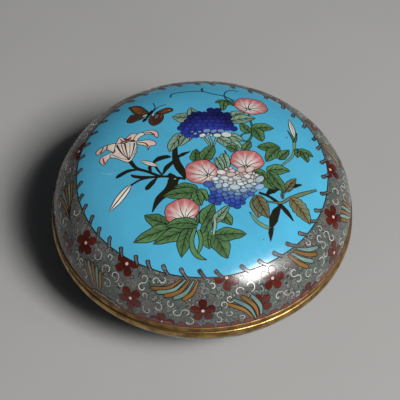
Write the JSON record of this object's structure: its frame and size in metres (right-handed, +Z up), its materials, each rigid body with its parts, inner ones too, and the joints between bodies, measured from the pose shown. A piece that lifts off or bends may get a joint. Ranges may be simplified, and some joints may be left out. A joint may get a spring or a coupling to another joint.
{
  "type": "cloisonne enamel box",
  "caption": "Low round cloisonne enamel box with a domed lift-off lid, gilt brass rim bands, a locating lip and a low foot ring.",
  "frame": {"origin": "centre of the foot ring's underside, on the surface the box stands on", "axes": "+Z up along the turned axis; the lid's picture is upright when looked at along +Y, with +X to its right"},
  "size_m": [0.12, 0.12, 0.056],
  "materials": {
    "lid_enamel": "polished turquoise cloisonne enamel with a grey border",
    "bowl_enamel": "polished grey cloisonne enamel",
    "gilt_brass": "worn gilding over brass",
    "cell_enamel": "polished enamel in many colours, fired into wire cells",
    "cell_wire": "fine polished wire, level with the enamel"
  },
  "bodies": {
    "root": {"lid_shell": "lid_enamel", "lid_rim": "gilt_brass", "bowl_shell": "bowl_enamel", "bowl_rim": "gilt_brass", "foot_ring": "gilt_brass"}
  },
  "joints": []
}
